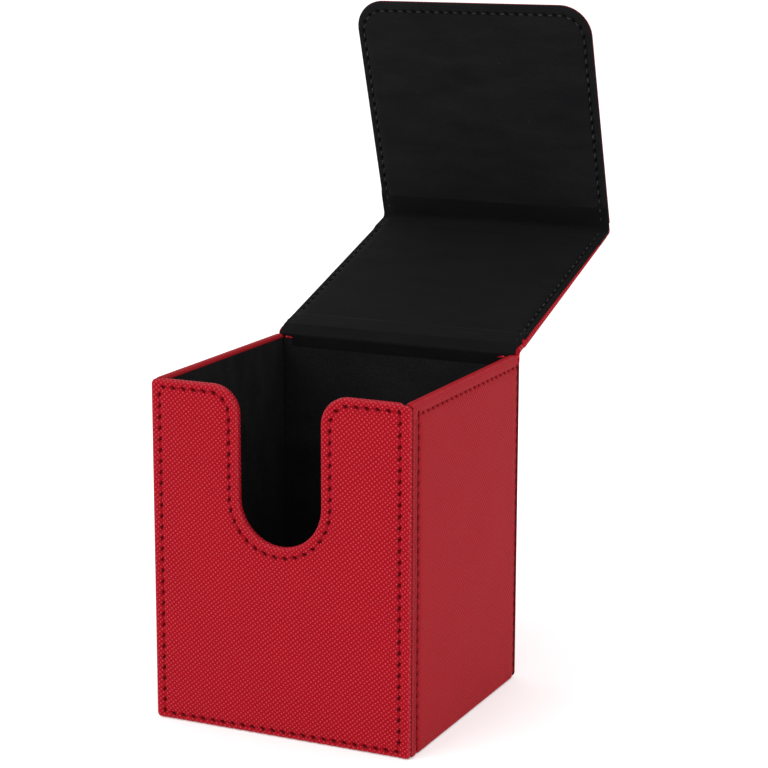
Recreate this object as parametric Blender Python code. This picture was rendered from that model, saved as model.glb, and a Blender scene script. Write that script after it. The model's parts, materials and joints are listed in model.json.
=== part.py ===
"""Card deck box: a leatherette-covered board box with a hinged lid and a magnetic front flap.

Every wall is a sandwich of an outer cover, a stiff board and a black lining.  The rear wall,
the lid and the flap are joined by soft strips, which bend about two axes along X.

Frame: origin at the middle of the base, X across the front, front face at -Y, +Z up.
The box is modelled with its lid swung back and its flap folded square to the lid.
Lengths are in millimetres until they reach a mesh.
"""

import math

import bmesh
import bpy
from mathutils import Matrix, Vector

MM = 0.001

# Box
BOX_WIDTH = 80.0
BOX_DEPTH = 77.0
BOX_HEIGHT = 99.5

GAP = 0.3


class Layers:
    """A cover, a board and a lining, from the outside in, with a gap between each two."""

    def __init__(self, cover, board, lining, gap):
        self.cover = cover
        self.lining = lining
        self.gap = gap
        self.board_top = -(cover + gap)
        self.board_bottom = self.board_top - board
        self.lining_top = self.board_bottom - gap
        self.total = lining - self.lining_top


WALL = Layers(0.7, 1.0, 0.5, 0.3)
THIN = Layers(0.6, 0.8, 0.4, 0.2)
COVER_T = WALL.cover
BOARD_TOP = WALL.board_top
BOARD_BOTTOM = WALL.board_bottom
LINING_TOP = WALL.lining_top
WALL_T = WALL.total

# Thumb notch in the front wall
NOTCH_HALF_WIDTH = 12.7
NOTCH_CENTRE_Z = BOX_HEIGHT - 31.6
NOTCH_FILLET = 8.2
EDGE_ROUNDING = 0.4

# Lid: its hinge axis lies behind and above the rear rim, and its outside clears the axis
LID_AXIS_BEHIND = 1.05
LID_AXIS_RISE = 1.45
LID_OUTER_RISE = 1.05
LID_START = 1.05
LID_OPEN_DEG = 161.8

# Flap: its crease axis lies where the outer faces of the lid and the flap meet
CREASE_FROM_HINGE = 80.55
CREASE_CLEARANCE = 3.1
CREASE_RADIUS = 2.5
HINGE_COVER_SET = 0.05
HINGE_LINING_FOOT = 0.6
FLAP_LENGTH = 77.4
FLAP_CORNER_RADIUS = 10.0

# Magnets, in holes through the front and flap boards
MAGNET_RADIUS = 4.0
MAGNET_SIDE = 26.0
MAGNET_DROPS = {"upper": 15.2, "lower": 54.5}

# Seams: distances from the edges of each panel
THREAD_RADIUS = 0.2
GROOVE_HALF_WIDTH = 0.5
GROOVE_DEPTH = 0.45
FRONT_SEAM_LEFT = 2.6
FRONT_SEAM_RIGHT = 3.5
FRONT_SEAM_TOP = 2.2
FRONT_SEAM_BOTTOM = 1.7
FRONT_SEAM_NOTCH = 2.9
FRONT_SEAM_FILLET = 6.0
REAR_SEAM_SIDE = 3.0
SIDE_SEAM_FRONT = 5.0
SIDE_SEAM_REAR = 1.9
SIDE_SEAM_TOP = 3.6
SIDE_SEAM_END = 2.0
LID_SEAM_SIDE = 2.7
LID_SEAM_END = 2.0
FLAP_SEAM_SIDE = 2.5
FLAP_SEAM_TIP = 3.0

HALF_WIDTH = BOX_WIDTH / 2
HALF_DEPTH = BOX_DEPTH / 2
INNER_HALF_WIDTH = HALF_WIDTH - WALL_T - GAP
SIDE_HALF_DEPTH = HALF_DEPTH - COVER_T - GAP
LID_END = CREASE_FROM_HINGE - CREASE_CLEARANCE
CLEAR = 1.0

RED = (0.55, 0.012, 0.03)
THREAD_RED = (0.33, 0.006, 0.014)
BLACK = (0.012, 0.012, 0.014)
GREYBOARD = (0.27, 0.23, 0.18)
STEEL = (0.6, 0.6, 0.62)


# ---------------------------------------------------------------- scene helpers

def clear_scene():
    for old in list(bpy.data.objects):
        bpy.data.objects.remove(old, do_unlink=True)


def make_material(name, colour, roughness, metallic=0.0):
    material = bpy.data.materials.new(name)
    material.use_nodes = True
    shader = material.node_tree.nodes["Principled BSDF"]
    shader.inputs["Base Color"].default_value = (*colour, 1.0)
    shader.inputs["Roughness"].default_value = roughness
    shader.inputs["Metallic"].default_value = metallic
    material.diffuse_color = (*colour, 1.0)
    return material


def make_empty(name, location, p_axis, q_axis, r_axis):
    """A frame whose own X, Y and Z are the directions p, q and r of a panel."""
    empty = bpy.data.objects.new(name, None)
    bpy.context.scene.collection.objects.link(empty)
    turn = Matrix((p_axis, q_axis, r_axis)).transposed().to_4x4()
    empty.matrix_world = Matrix.Translation(Vector(location) * MM) @ turn
    return empty


def add_object(name, mesh, parent, material):
    mesh.materials.append(material)
    obj = bpy.data.objects.new(name, mesh)
    bpy.context.scene.collection.objects.link(obj)
    obj.parent = parent
    return obj


def add_cutter(target, name, mesh, parent):
    """Cuts a mesh out of an object with a Boolean, and hides the cutter."""
    cutter = bpy.data.objects.new(name, mesh)
    bpy.context.scene.collection.objects.link(cutter)
    cutter.parent = parent
    cutter.hide_render = True
    cutter.display_type = "WIRE"
    cut = target.modifiers.new(name, "BOOLEAN")
    cut.operation = "DIFFERENCE"
    cut.solver = "EXACT"
    cut.object = cutter


# ---------------------------------------------------------------- outlines in a panel's plane

def arc(centre_p, centre_q, radius, start_deg, end_deg, steps):
    """Points along an arc, both ends included."""
    points = []
    for i in range(steps + 1):
        angle = math.radians(start_deg + (end_deg - start_deg) * i / steps)
        points.append((centre_p + radius * math.cos(angle), centre_q + radius * math.sin(angle)))
    return points


def rectangle(p0, p1, q0, q1):
    return [(p0, q0), (p1, q0), (p1, q1), (p0, q1)]


def notch_edge(top, half_width, fillet):
    """The thumb notch from its right-hand fillet, round the bottom, to its left-hand fillet."""
    shoulder = half_width + fillet
    edge = arc(shoulder, top - fillet, fillet, 90, 180, 6)
    edge += arc(0, NOTCH_CENTRE_Z, half_width, 0, -180, 18)
    edge += arc(-shoulder, top - fillet, fillet, 0, 90, 6)
    return edge


def notched_outline(left, right, bottom, top, half_width, fillet):
    corners_below = [(left, bottom), (right, bottom), (right, top)]
    return corners_below + notch_edge(top, half_width, fillet) + [(left, top)]


def front_outline(half_width, bottom, inset):
    """The front wall's outline, moved in from its top and notch edges."""
    top = BOX_HEIGHT - inset
    return notched_outline(-half_width, half_width, bottom, top,
                           NOTCH_HALF_WIDTH + inset, NOTCH_FILLET - inset)


def flap_outline(start, inset):
    """The flap's outline, moved in from its sides and its rounded tip."""
    side = HALF_WIDTH - inset
    tip = FLAP_LENGTH - inset
    radius = FLAP_CORNER_RADIUS - inset
    outline = [(-side, start), (side, start)]
    outline += arc(side - radius, tip - radius, radius, 0, 90, 8)
    outline += arc(radius - side, tip - radius, radius, 90, 180, 8)
    return outline


# ---------------------------------------------------------------- meshes

def finish_mesh(bm, name):
    bmesh.ops.recalc_face_normals(bm, faces=bm.faces)
    mesh = bpy.data.meshes.new(name)
    bm.to_mesh(mesh)
    bm.free()
    return mesh


def prism_mesh(name, outline, bottom, top, rounding=0.0):
    """Extrudes a flat outline along r and may round the edge of its outer face."""
    bm = bmesh.new()
    corners = [bm.verts.new((p * MM, q * MM, bottom * MM)) for p, q in outline]
    base = bm.faces.new(corners)
    raised = bmesh.ops.extrude_face_region(bm, geom=[base])["geom"]
    top_verts = [item for item in raised if isinstance(item, bmesh.types.BMVert)]
    bmesh.ops.translate(bm, verts=top_verts, vec=(0, 0, (top - bottom) * MM))
    if rounding:
        rim = [edge for edge in bm.edges if all(vert in top_verts for vert in edge.verts)]
        bmesh.ops.bevel(bm, geom=rim, offset=rounding * MM, segments=2, profile=0.5,
                        affect="EDGES", clamp_overlap=True)
    return finish_mesh(bm, name)


def disc_mesh(name, p, q, radius, bottom, top):
    return prism_mesh(name, arc(p, q, radius, 0, 345, 23), bottom, top)


def strip_mesh(name, half_width, section):
    """Extrudes a section, drawn in the plane of q and r, along p."""
    bm = bmesh.new()
    corners = [bm.verts.new((-half_width * MM, q * MM, r * MM)) for q, r in section]
    side = bm.faces.new(corners)
    raised = bmesh.ops.extrude_face_region(bm, geom=[side])["geom"]
    far_verts = [item for item in raised if isinstance(item, bmesh.types.BMVert)]
    bmesh.ops.translate(bm, verts=far_verts, vec=(2 * half_width * MM, 0, 0))
    return finish_mesh(bm, name)


def sweep_mesh(name, path, profile, closed):
    """Sweeps a profile of (sideways, r) points along a path of (p, q) points, with mitred turns."""
    bm = bmesh.new()
    count = len(path)
    rings = []
    for i, (p, q) in enumerate(path):
        here = Vector((p, q))
        before = Vector(path[i - 1]) if closed or i > 0 else None
        after = Vector(path[(i + 1) % count]) if closed or i < count - 1 else None
        arriving = (here - before).normalized() if before else (after - here).normalized()
        leaving = (after - here).normalized() if after else arriving
        along = (arriving + leaving).normalized()
        stretch = 1.0 / along.dot(arriving)
        side = Vector((along.y, -along.x)) * stretch
        ring = []
        for offset, r in profile:
            spot = here + side * offset
            ring.append(bm.verts.new((spot.x * MM, spot.y * MM, r * MM)))
        rings.append(ring)
    size = len(profile)
    for i in range(count if closed else count - 1):
        ring, following = rings[i], rings[(i + 1) % count]
        for j in range(size):
            k = (j + 1) % size
            bm.faces.new((ring[j], ring[k], following[k], following[j]))
    if not closed:
        bm.faces.new(rings[0])
        bm.faces.new(list(reversed(rings[-1])))
    return finish_mesh(bm, name)


# ---------------------------------------------------------------- pieces

def add_seam(name, cover, frame, path, closed, surface, thread):
    """Sinks a groove in a cover and lays a thread in it."""
    half = GROOVE_HALF_WIDTH
    floor = surface - GROOVE_DEPTH
    groove = [(-half, floor), (half, floor), (half, surface + CLEAR), (-half, surface + CLEAR)]
    add_cutter(cover, name + "_groove", sweep_mesh(name + "_groove", path, groove, closed), frame)
    round_section = arc(0, surface, THREAD_RADIUS, 0, 300, 5)
    add_object(name, sweep_mesh(name, path, round_section, closed), frame, thread)


def add_panel(name, frame, surface, cover, pocket, board, lining, mats, layers=WALL):
    """A wall of three layers.  Each outline is drawn in the panel's plane."""
    inner = surface - layers.total
    cover_obj = add_object(name + "_cover", prism_mesh(name + "_cover", cover, inner, surface,
                                                       EDGE_ROUNDING), frame, mats["cover"])
    pocket_mesh = prism_mesh(name + "_pocket", pocket, inner - CLEAR, surface - layers.cover)
    add_cutter(cover_obj, name + "_pocket", pocket_mesh, frame)
    board_mesh = prism_mesh(name + "_board", board, surface + layers.board_bottom,
                            surface + layers.board_top)
    board_obj = add_object(name + "_board", board_mesh, frame, mats["board"])
    lining_mesh = prism_mesh(name + "_lining", lining, inner, surface + layers.lining_top)
    add_object(name + "_lining", lining_mesh, frame, mats["lining"])
    return cover_obj, board_obj


def add_magnets(name, board, frame, heights, mats, layers=WALL):
    """Magnet discs in holes through a board, in two rows at its two sides."""
    for row, q in heights.items():
        for side, p in (("left", -MAGNET_SIDE), ("right", MAGNET_SIDE)):
            label = f"{name}_magnet_{row}_{side}"
            hole = disc_mesh(label + "_hole", p, q, MAGNET_RADIUS + layers.gap,
                             layers.board_bottom - CLEAR, layers.board_top + CLEAR)
            add_cutter(board, label + "_hole", hole, frame)
            disc = disc_mesh(label, p, q, MAGNET_RADIUS, layers.board_bottom, layers.board_top)
            add_object(label, disc, frame, mats["magnet"])


def build_front(mats):
    frame = make_empty("front_frame", (0, -HALF_DEPTH, 0), (1, 0, 0), (0, 0, 1), (0, -1, 0))
    beyond = BOX_HEIGHT + CLEAR
    shelf = BOX_HEIGHT - COVER_T
    outside = HALF_WIDTH + CLEAR
    pocket = [(-outside, -CLEAR), (outside, -CLEAR), (outside, beyond),
              (INNER_HALF_WIDTH, beyond), (INNER_HALF_WIDTH, shelf)]
    pocket += notch_edge(shelf, NOTCH_HALF_WIDTH + COVER_T, NOTCH_FILLET - COVER_T)
    pocket += [(-INNER_HALF_WIDTH, shelf), (-INNER_HALF_WIDTH, beyond), (-outside, beyond)]
    cover, board = add_panel(
        "front", frame, 0.0, front_outline(HALF_WIDTH, 0, 0), pocket,
        front_outline(INNER_HALF_WIDTH, COVER_T + GAP, COVER_T + GAP),
        front_outline(INNER_HALF_WIDTH, -LINING_TOP, COVER_T + GAP), mats)
    seam = notched_outline(FRONT_SEAM_LEFT - HALF_WIDTH, HALF_WIDTH - FRONT_SEAM_RIGHT,
                           FRONT_SEAM_BOTTOM, BOX_HEIGHT - FRONT_SEAM_TOP,
                           NOTCH_HALF_WIDTH + FRONT_SEAM_NOTCH, FRONT_SEAM_FILLET)
    add_seam("front_stitching", cover, frame, seam, True, 0.0, mats["thread"])
    heights = {row: BOX_HEIGHT - drop for row, drop in MAGNET_DROPS.items()}
    add_magnets("front", board, frame, heights, mats)


def build_rear(mats):
    frame = make_empty("rear_frame", (0, HALF_DEPTH, 0), (-1, 0, 0), (0, 0, 1), (0, 1, 0))
    beyond = BOX_HEIGHT + CLEAR
    shelf = BOX_HEIGHT - COVER_T
    outside = HALF_WIDTH + CLEAR
    inside = INNER_HALF_WIDTH
    pocket = [(-outside, -CLEAR), (outside, -CLEAR), (outside, beyond), (inside, beyond),
              (inside, shelf), (-inside, shelf), (-inside, beyond), (-outside, beyond)]
    cover, _ = add_panel(
        "rear", frame, 0.0, rectangle(-HALF_WIDTH, HALF_WIDTH, 0, BOX_HEIGHT), pocket,
        rectangle(-inside, inside, COVER_T + GAP, shelf - GAP),
        rectangle(-inside, inside, -LINING_TOP, shelf - GAP), mats)
    edge = HALF_WIDTH - REAR_SEAM_SIDE
    seam = rectangle(-edge, edge, FRONT_SEAM_BOTTOM, BOX_HEIGHT - FRONT_SEAM_TOP)
    add_seam("rear_stitching", cover, frame, seam, True, 0.0, mats["thread"])


def build_side(name, sign, mats):
    """A side wall, between the front and rear covers.  sign is +1 on the right, -1 on the left."""
    frame = make_empty(name + "_frame", (sign * HALF_WIDTH, 0, 0),
                       (0, sign, 0), (0, 0, 1), (sign, 0, 0))
    half = SIDE_HALF_DEPTH
    shelf = BOX_HEIGHT - COVER_T
    cover, _ = add_panel(
        name, frame, 0.0, rectangle(-half, half, 0, BOX_HEIGHT),
        rectangle(-half - CLEAR, half + CLEAR, -CLEAR, shelf),
        rectangle(-half, half, COVER_T + GAP, shelf - GAP),
        rectangle(-half, half, -LINING_TOP, shelf - GAP), mats)
    front = sign * (SIDE_SEAM_FRONT - HALF_DEPTH)
    rear = sign * (HALF_DEPTH - SIDE_SEAM_REAR)
    top = BOX_HEIGHT - SIDE_SEAM_TOP
    seam = [(front, SIDE_SEAM_END), (front, top), (rear, top), (rear, SIDE_SEAM_END)]
    add_seam(name + "_stitching", cover, frame, seam, False, 0.0, mats["thread"])


def build_floor(mats):
    """The base: its cover is the face that the box stands on."""
    frame = make_empty("floor_frame", (0, 0, 0), (1, 0, 0), (0, -1, 0), (0, 0, -1))
    cover_p = HALF_WIDTH - COVER_T - GAP
    board_p = HALF_WIDTH + BOARD_BOTTOM - GAP
    board_q = HALF_DEPTH + BOARD_BOTTOM - GAP
    lining_q = HALF_DEPTH - WALL_T - GAP
    cover = rectangle(-cover_p, cover_p, -SIDE_HALF_DEPTH, SIDE_HALF_DEPTH)
    board = rectangle(-board_p, board_p, -board_q, board_q)
    lining = rectangle(-INNER_HALF_WIDTH, INNER_HALF_WIDTH, -lining_q, lining_q)
    layers = (("cover", cover, -COVER_T, 0.0), ("board", board, BOARD_BOTTOM, BOARD_TOP),
              ("lining", lining, -WALL_T, LINING_TOP))
    for layer, outline, bottom, top in layers:
        name = "floor_" + layer
        add_object(name, prism_mesh(name, outline, bottom, top), frame, mats[layer])


def lid_frame():
    """The lid's frame lies on its hinge axis: q runs towards the flap and r is the lid's outside."""
    angle = math.radians(LID_OPEN_DEG)
    forward = (0, -math.cos(angle), math.sin(angle))
    outward = (0, math.sin(angle), math.cos(angle))
    axis = (0, HALF_DEPTH + LID_AXIS_BEHIND, BOX_HEIGHT + LID_AXIS_RISE)
    return make_empty("lid_axis", axis, (-1, 0, 0), forward, outward)


def build_lid(frame, mats):
    surface = LID_OUTER_RISE
    wrap = HALF_WIDTH - THIN.cover
    inside = wrap - THIN.gap
    core = rectangle(-inside, inside, LID_START + THIN.gap, LID_END - THIN.gap)
    cover, _ = add_panel(
        "lid", frame, surface, rectangle(-HALF_WIDTH, HALF_WIDTH, LID_START, LID_END),
        rectangle(-wrap, wrap, LID_START - CLEAR, LID_END + CLEAR), core, core, mats, THIN)
    for side, sign in (("left", 1), ("right", -1)):
        p = sign * (HALF_WIDTH - LID_SEAM_SIDE)
        seam = [(p, LID_START + LID_SEAM_END), (p, LID_END - LID_SEAM_END)]
        add_seam(f"lid_stitching_{side}", cover, frame, seam, False, surface, mats["thread"])


def build_flap(lid, mats):
    """The flap's frame lies on the crease axis: q runs to the flap's tip, folded square to the lid."""
    frame = bpy.data.objects.new("flap_axis", None)
    bpy.context.scene.collection.objects.link(frame)
    frame.parent = lid
    frame.location = (0, CREASE_FROM_HINGE * MM, LID_OUTER_RISE * MM)
    frame.rotation_euler = (math.radians(-90), 0, 0)
    start = CREASE_CLEARANCE
    core = flap_outline(start + THIN.gap, THIN.cover + THIN.gap)
    cover, board = add_panel(
        "flap", frame, 0.0, flap_outline(start, 0.0), flap_outline(start - CLEAR, THIN.cover),
        core, core, mats, THIN)
    side = HALF_WIDTH - FLAP_SEAM_SIDE
    tip = FLAP_LENGTH - FLAP_SEAM_TIP
    radius = FLAP_CORNER_RADIUS - FLAP_SEAM_SIDE
    seam = [(side, start + LID_SEAM_END)]
    seam += arc(side - radius, tip - radius, radius, 0, 90, 8)
    seam += arc(radius - side, tip - radius, radius, 90, 180, 8)
    seam += [(-side, start + LID_SEAM_END)]
    add_seam("flap_stitching", cover, frame, seam, False, 0.0, mats["thread"])
    rise = LID_AXIS_RISE + LID_OUTER_RISE
    heights = {row: depth + rise for row, depth in MAGNET_DROPS.items()}
    add_magnets("flap", board, frame, heights, mats, THIN)


def lid_point(q, r):
    """World (y, z) of a point of the open lid, q along the lid and r out of it."""
    rise = math.radians(180 - LID_OPEN_DEG)
    y = HALF_DEPTH + LID_AXIS_BEHIND + q * math.cos(rise) + r * math.sin(rise)
    z = BOX_HEIGHT + LID_AXIS_RISE + q * math.sin(rise) - r * math.cos(rise)
    return y, z


def build_hinge(mats):
    """The soft strips that join the rear wall to the lid, drawn with the lid open."""
    frame = make_empty("hinge_frame", (0, 0, 0), (1, 0, 0), (0, 1, 0), (0, 0, 1))
    base = BOX_HEIGHT + GAP
    end = LID_START - THIN.gap
    outside = LID_OUTER_RISE
    inside = outside - THIN.total
    behind = HALF_DEPTH - HINGE_COVER_SET
    section = [(behind, base), lid_point(end, outside), lid_point(end, outside - THIN.cover),
               (behind - THIN.cover / 2, base + COVER_T), (behind - COVER_T, base)]
    add_object("hinge_cover", strip_mesh("hinge_cover", HALF_WIDTH - GAP, section), frame,
               mats["cover"])
    front = HALF_DEPTH - WALL_T + WALL.lining
    section = [(front, base), (front + HINGE_LINING_FOOT, base),
               lid_point(end, inside + THIN.lining), lid_point(end, inside)]
    add_object("hinge_lining", strip_mesh("hinge_lining", HALF_WIDTH - COVER_T - GAP, section),
               frame, mats["lining"])


def build_crease(lid, mats):
    """The soft crease between the lid and the flap: a rounded cover strip and a lining pleat."""
    end = GAP - CREASE_CLEARANCE
    centre = -CREASE_RADIUS
    outer = [(end, 0.0)] + arc(centre, centre, CREASE_RADIUS, 90, 0, 6) + [(0.0, end)]
    inner = [(-THIN.cover, end)]
    inner += arc(centre, centre, CREASE_RADIUS - THIN.cover, 0, 90, 6) + [(end, -THIN.cover)]
    side = THIN.lining - THIN.total
    pleat = [(end, end), (end, side), (side + THIN.lining, side + THIN.lining), (side, end)]
    strips = (("crease_cover", outer + inner, HALF_WIDTH - GAP, "cover"),
              ("crease_lining", pleat, HALF_WIDTH - COVER_T - GAP, "lining"))
    for name, section, half_width, layer in strips:
        placed = [(q + CREASE_FROM_HINGE, r + LID_OUTER_RISE) for q, r in section]
        add_object(name, strip_mesh(name, half_width, placed), lid, mats[layer])


def main():
    clear_scene()
    mats = {
        "cover": make_material("red_leatherette", RED, 0.62),
        "lining": make_material("black_microfibre", BLACK, 0.9),
        "board": make_material("greyboard", GREYBOARD, 0.85),
        "thread": make_material("red_thread", THREAD_RED, 0.6),
        "magnet": make_material("nickelled_magnet", STEEL, 0.3, 1.0),
    }
    build_floor(mats)
    build_front(mats)
    build_rear(mats)
    build_side("right", 1, mats)
    build_side("left", -1, mats)
    lid = lid_frame()
    build_lid(lid, mats)
    build_flap(lid, mats)
    build_hinge(mats)
    build_crease(lid, mats)


main()
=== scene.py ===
"""Looks of the card deck box: woven-grain leatherette over boards, black lining and sewn edges.

Panels are drawn in their own planes, in millimetres: p and q run across a panel and r runs
out of its outer face.  Each panel's frame carries its points to the object's frame.
"""

import json
import math

import bpy
import numpy as np
from mathutils import Matrix, Vector
from mathutils.geometry import delaunay_2d_cdt


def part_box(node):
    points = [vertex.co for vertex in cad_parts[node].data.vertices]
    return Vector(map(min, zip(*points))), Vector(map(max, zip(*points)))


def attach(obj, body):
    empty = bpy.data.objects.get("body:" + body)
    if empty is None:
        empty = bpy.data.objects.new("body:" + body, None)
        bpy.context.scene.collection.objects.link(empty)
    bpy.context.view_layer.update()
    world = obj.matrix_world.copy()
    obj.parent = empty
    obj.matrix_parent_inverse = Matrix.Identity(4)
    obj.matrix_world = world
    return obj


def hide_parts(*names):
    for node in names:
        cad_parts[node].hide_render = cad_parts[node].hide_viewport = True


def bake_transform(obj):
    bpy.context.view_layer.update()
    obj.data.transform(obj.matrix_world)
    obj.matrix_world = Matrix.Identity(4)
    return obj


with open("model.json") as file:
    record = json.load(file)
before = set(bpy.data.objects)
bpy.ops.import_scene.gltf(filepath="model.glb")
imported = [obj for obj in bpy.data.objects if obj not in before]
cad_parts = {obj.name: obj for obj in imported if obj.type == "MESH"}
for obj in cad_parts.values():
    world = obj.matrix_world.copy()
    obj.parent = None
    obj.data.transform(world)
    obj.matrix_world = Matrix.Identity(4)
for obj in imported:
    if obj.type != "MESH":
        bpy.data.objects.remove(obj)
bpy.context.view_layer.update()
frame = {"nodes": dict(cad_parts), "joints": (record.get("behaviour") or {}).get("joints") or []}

MM = 0.001

# ---------------------------------------------------------------- sizes, from the frame

FRONT_LOW, FRONT_HIGH = (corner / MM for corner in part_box("front_cover"))
REAR_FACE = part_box("rear_cover")[1].y / MM
FRONT_FACE = FRONT_LOW.y
HALF_WIDTH = FRONT_HIGH.x
HEIGHT = FRONT_HIGH.z
WALL = FRONT_HIGH.y - FRONT_LOW.y
SIDE_HALF_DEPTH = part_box("right_cover")[1].y / MM
INNER_HALF_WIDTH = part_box("front_board")[1].x / MM

JOINTS = {joint["name"]: Vector(joint["pos_m"]) / MM for joint in frame["joints"]}
HINGE = JOINTS["lid_hinge"]
CREASE = JOINTS["flap_hinge"]
SHEET = 2.2
LID_OUTER_RISE = 1.05
LID_START = 1.05
CREASE_CLEARANCE = 3.1
LID_REACH = math.sqrt((CREASE - HINGE).length_squared - LID_OUTER_RISE**2)
LID_END = LID_REACH - CREASE_CLEARANCE
FLAP_LENGTH = 77.4
FLAP_CORNER = 10.0

NOTCH_HALF_WIDTH = 12.7
NOTCH_BOTTOM = HEIGHT - 44.3
NOTCH_FILLET = 8.2
MAGNET_SIDE = 26.0
MAGNET_DROPS = (15.2, 54.5)
MAGNET_RADIUS = 4.0

# Rims: how the covers turn over the edges
RIM_RADIUS = 1.1
RIM_POINTS = 18
COVER_PINCH = 0.05
LINING_PINCH = 0.5
PINCH_REACH = 3.0
BOARD_INSET = 5.0
LINING_DEPTH = SHEET - 0.12
PUFF = 0.05
MAGNET_BUMP = 0.08
RIPPLE = 0.025

JOINT_GAP = 0.42
CORNER_DIP = 0.5
ROLL_HEM = 0.6
HINGE_ROLL = 1.5
LID_SKEW = 0.4
LID_TAPER = 0.2
LID_SEAM_INSET = 2.7
FLAP_SEAM_INSET = 2.5
FLAP_SEAM_DROP = 3.0
BUTT_CORNER = 1.2
LINING_INSET = 0.1
INNER_STITCHES = {"lift": -0.08, "radius": 0.17, "span": 0.42}

# Stitches
PITCH = 3.2
GROOVE_DEPTH = 0.2
GROOVE_WIDTH = 0.75
HOLE_DEPTH = 0.5
SLANTED_HOLE = (0.84, 0.46, 26.0)
LONG_HOLE = (1.25, 0.6, 4.0)
SMALL_HOLE = (0.7, 0.36, 30.0)
THREAD_SPAN = 0.7
THREAD_RADIUS = 0.2
SEAM_ROWS = (-0.8, -0.55, -0.36, -0.18, 0.0, 0.18, 0.36, 0.55, 0.8)


# ---------------------------------------------------------------- frames

def panel_frame(origin, p_axis, q_axis, r_axis):
    """A matrix that takes (p, q, r) in millimetres to the object's frame in metres."""
    turn = Matrix((p_axis, q_axis, r_axis)).transposed().to_4x4()
    return Matrix.Translation(Vector(origin) * MM) @ turn @ Matrix.Scale(MM, 4)


def inside_of(matrix, depth):
    """The frame of a panel's inner face, at a depth below its outer face."""
    flip = Matrix.Diagonal((-1, 1, -1, 1))
    return matrix @ Matrix.Translation((0, 0, -depth)) @ flip


to_crease = CREASE - HINGE
lid_angle = math.atan2(to_crease.z, to_crease.y) + math.atan2(LID_OUTER_RISE, LID_REACH)
LID_Q = Vector((0, math.cos(lid_angle), math.sin(lid_angle)))
LID_R = Vector((0, math.sin(lid_angle), -math.cos(lid_angle)))
X_AXIS = Vector((1, 0, 0))
Z_AXIS = Vector((0, 0, 1))

FRONT_FRAME = panel_frame((0, FRONT_FACE, 0), X_AXIS, Z_AXIS, (0, -1, 0))
REAR_FRAME = panel_frame((0, REAR_FACE, 0), -X_AXIS, Z_AXIS, (0, 1, 0))
RIGHT_FRAME = panel_frame((HALF_WIDTH, 0, 0), (0, 1, 0), Z_AXIS, X_AXIS)
LEFT_FRAME = panel_frame((-HALF_WIDTH, 0, 0), (0, -1, 0), Z_AXIS, -X_AXIS)
LID_FRAME = panel_frame(HINGE + LID_OUTER_RISE * LID_R, -X_AXIS, LID_Q, LID_R)
FLAP_FRAME = panel_frame(CREASE, -X_AXIS, -LID_R, LID_Q)


# ---------------------------------------------------------------- node helpers

class Nodes:
    """A small builder for one material's node tree."""

    def __init__(self, name):
        self.material = bpy.data.materials.new(name)
        self.material.use_nodes = True
        self.tree = self.material.node_tree
        self.shader = self.tree.nodes["Principled BSDF"]

    def add(self, kind, values=None, **settings):
        node = self.tree.nodes.new("ShaderNode" + kind)
        for key, value in settings.items():
            setattr(node, key, value)
        for socket, value in (values or {}).items():
            self.put(node.inputs[socket], value)
        return node

    def put(self, socket, value):
        if isinstance(value, bpy.types.NodeSocket):
            self.tree.links.new(value, socket)
        else:
            socket.default_value = value

    def attribute(self, name, output="Fac"):
        return self.add("Attribute", attribute_name=name).outputs[output]

    def math(self, operation, *values):
        node = self.add("Math", operation=operation)
        for i, value in enumerate(values):
            self.put(node.inputs[i], value)
        return node.outputs[0]

    def noise(self, vector, scale, detail=3.0, roughness=0.5):
        node = self.add("TexNoise", {"Vector": vector, "Scale": scale, "Detail": detail,
                                     "Roughness": roughness})
        return node.outputs["Fac"]

    def spread(self, value, low, high, out_low=0.0, out_high=1.0):
        node = self.add("MapRange", {0: value, 1: low, 2: high, 3: out_low, 4: out_high})
        return node.outputs[0]

    def mix(self, factor, first, second):
        node = self.add("Mix", data_type="RGBA")
        self.put(node.inputs[0], factor)
        self.put(node.inputs[6], first)
        self.put(node.inputs[7], second)
        return node.outputs[2]

    def bump(self, height, strength, distance, normal=None):
        values = {"Height": height, "Strength": strength, "Distance": distance}
        if normal is not None:
            values["Normal"] = normal
        return self.add("Bump", values).outputs["Normal"]

    def wave(self, vector, frequency):
        """A cosine across the cloth: frequency is a vector in turns per millimetre."""
        turns = self.add("VectorMath", {0: vector, 1: (*frequency, 0.0)},
                         operation="DOT_PRODUCT").outputs["Value"]
        return self.math("COSINE", self.math("MULTIPLY", turns, 2 * math.pi))


def rgb(red, green, blue):
    return (red, green, blue, 1.0)


def millimetres(nodes):
    """The place on the object in millimetres, for pieces with no cloth coordinates."""
    place = nodes.add("TexCoord").outputs["Object"]
    return nodes.add("VectorMath", {0: place, 1: (1000, 1000, 1000)},
                     operation="MULTIPLY").outputs["Vector"]


# ---------------------------------------------------------------- materials

WARP = (0.765, 0.641)
WEFT = (0.643, -0.746)
# Leather reds: the deep one is painted shade in the weave's gaps, the light one painted highlight on its
# tops; the weave itself is the cover's own.
RED_DEEP = (0.25, 0.0005, 0.005)
RED_LIGHT = (0.42, 0.006, 0.018)
# Side walls: a darker, greyer copy of the red, as painted shade with a painted grey sheen of grazing
# reflection.
SIDE_DEEP_SHADED = (0.262, 0.008, 0.0125)
SIDE_LIGHT_SHADED = (0.30, 0.0125, 0.018)


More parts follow.
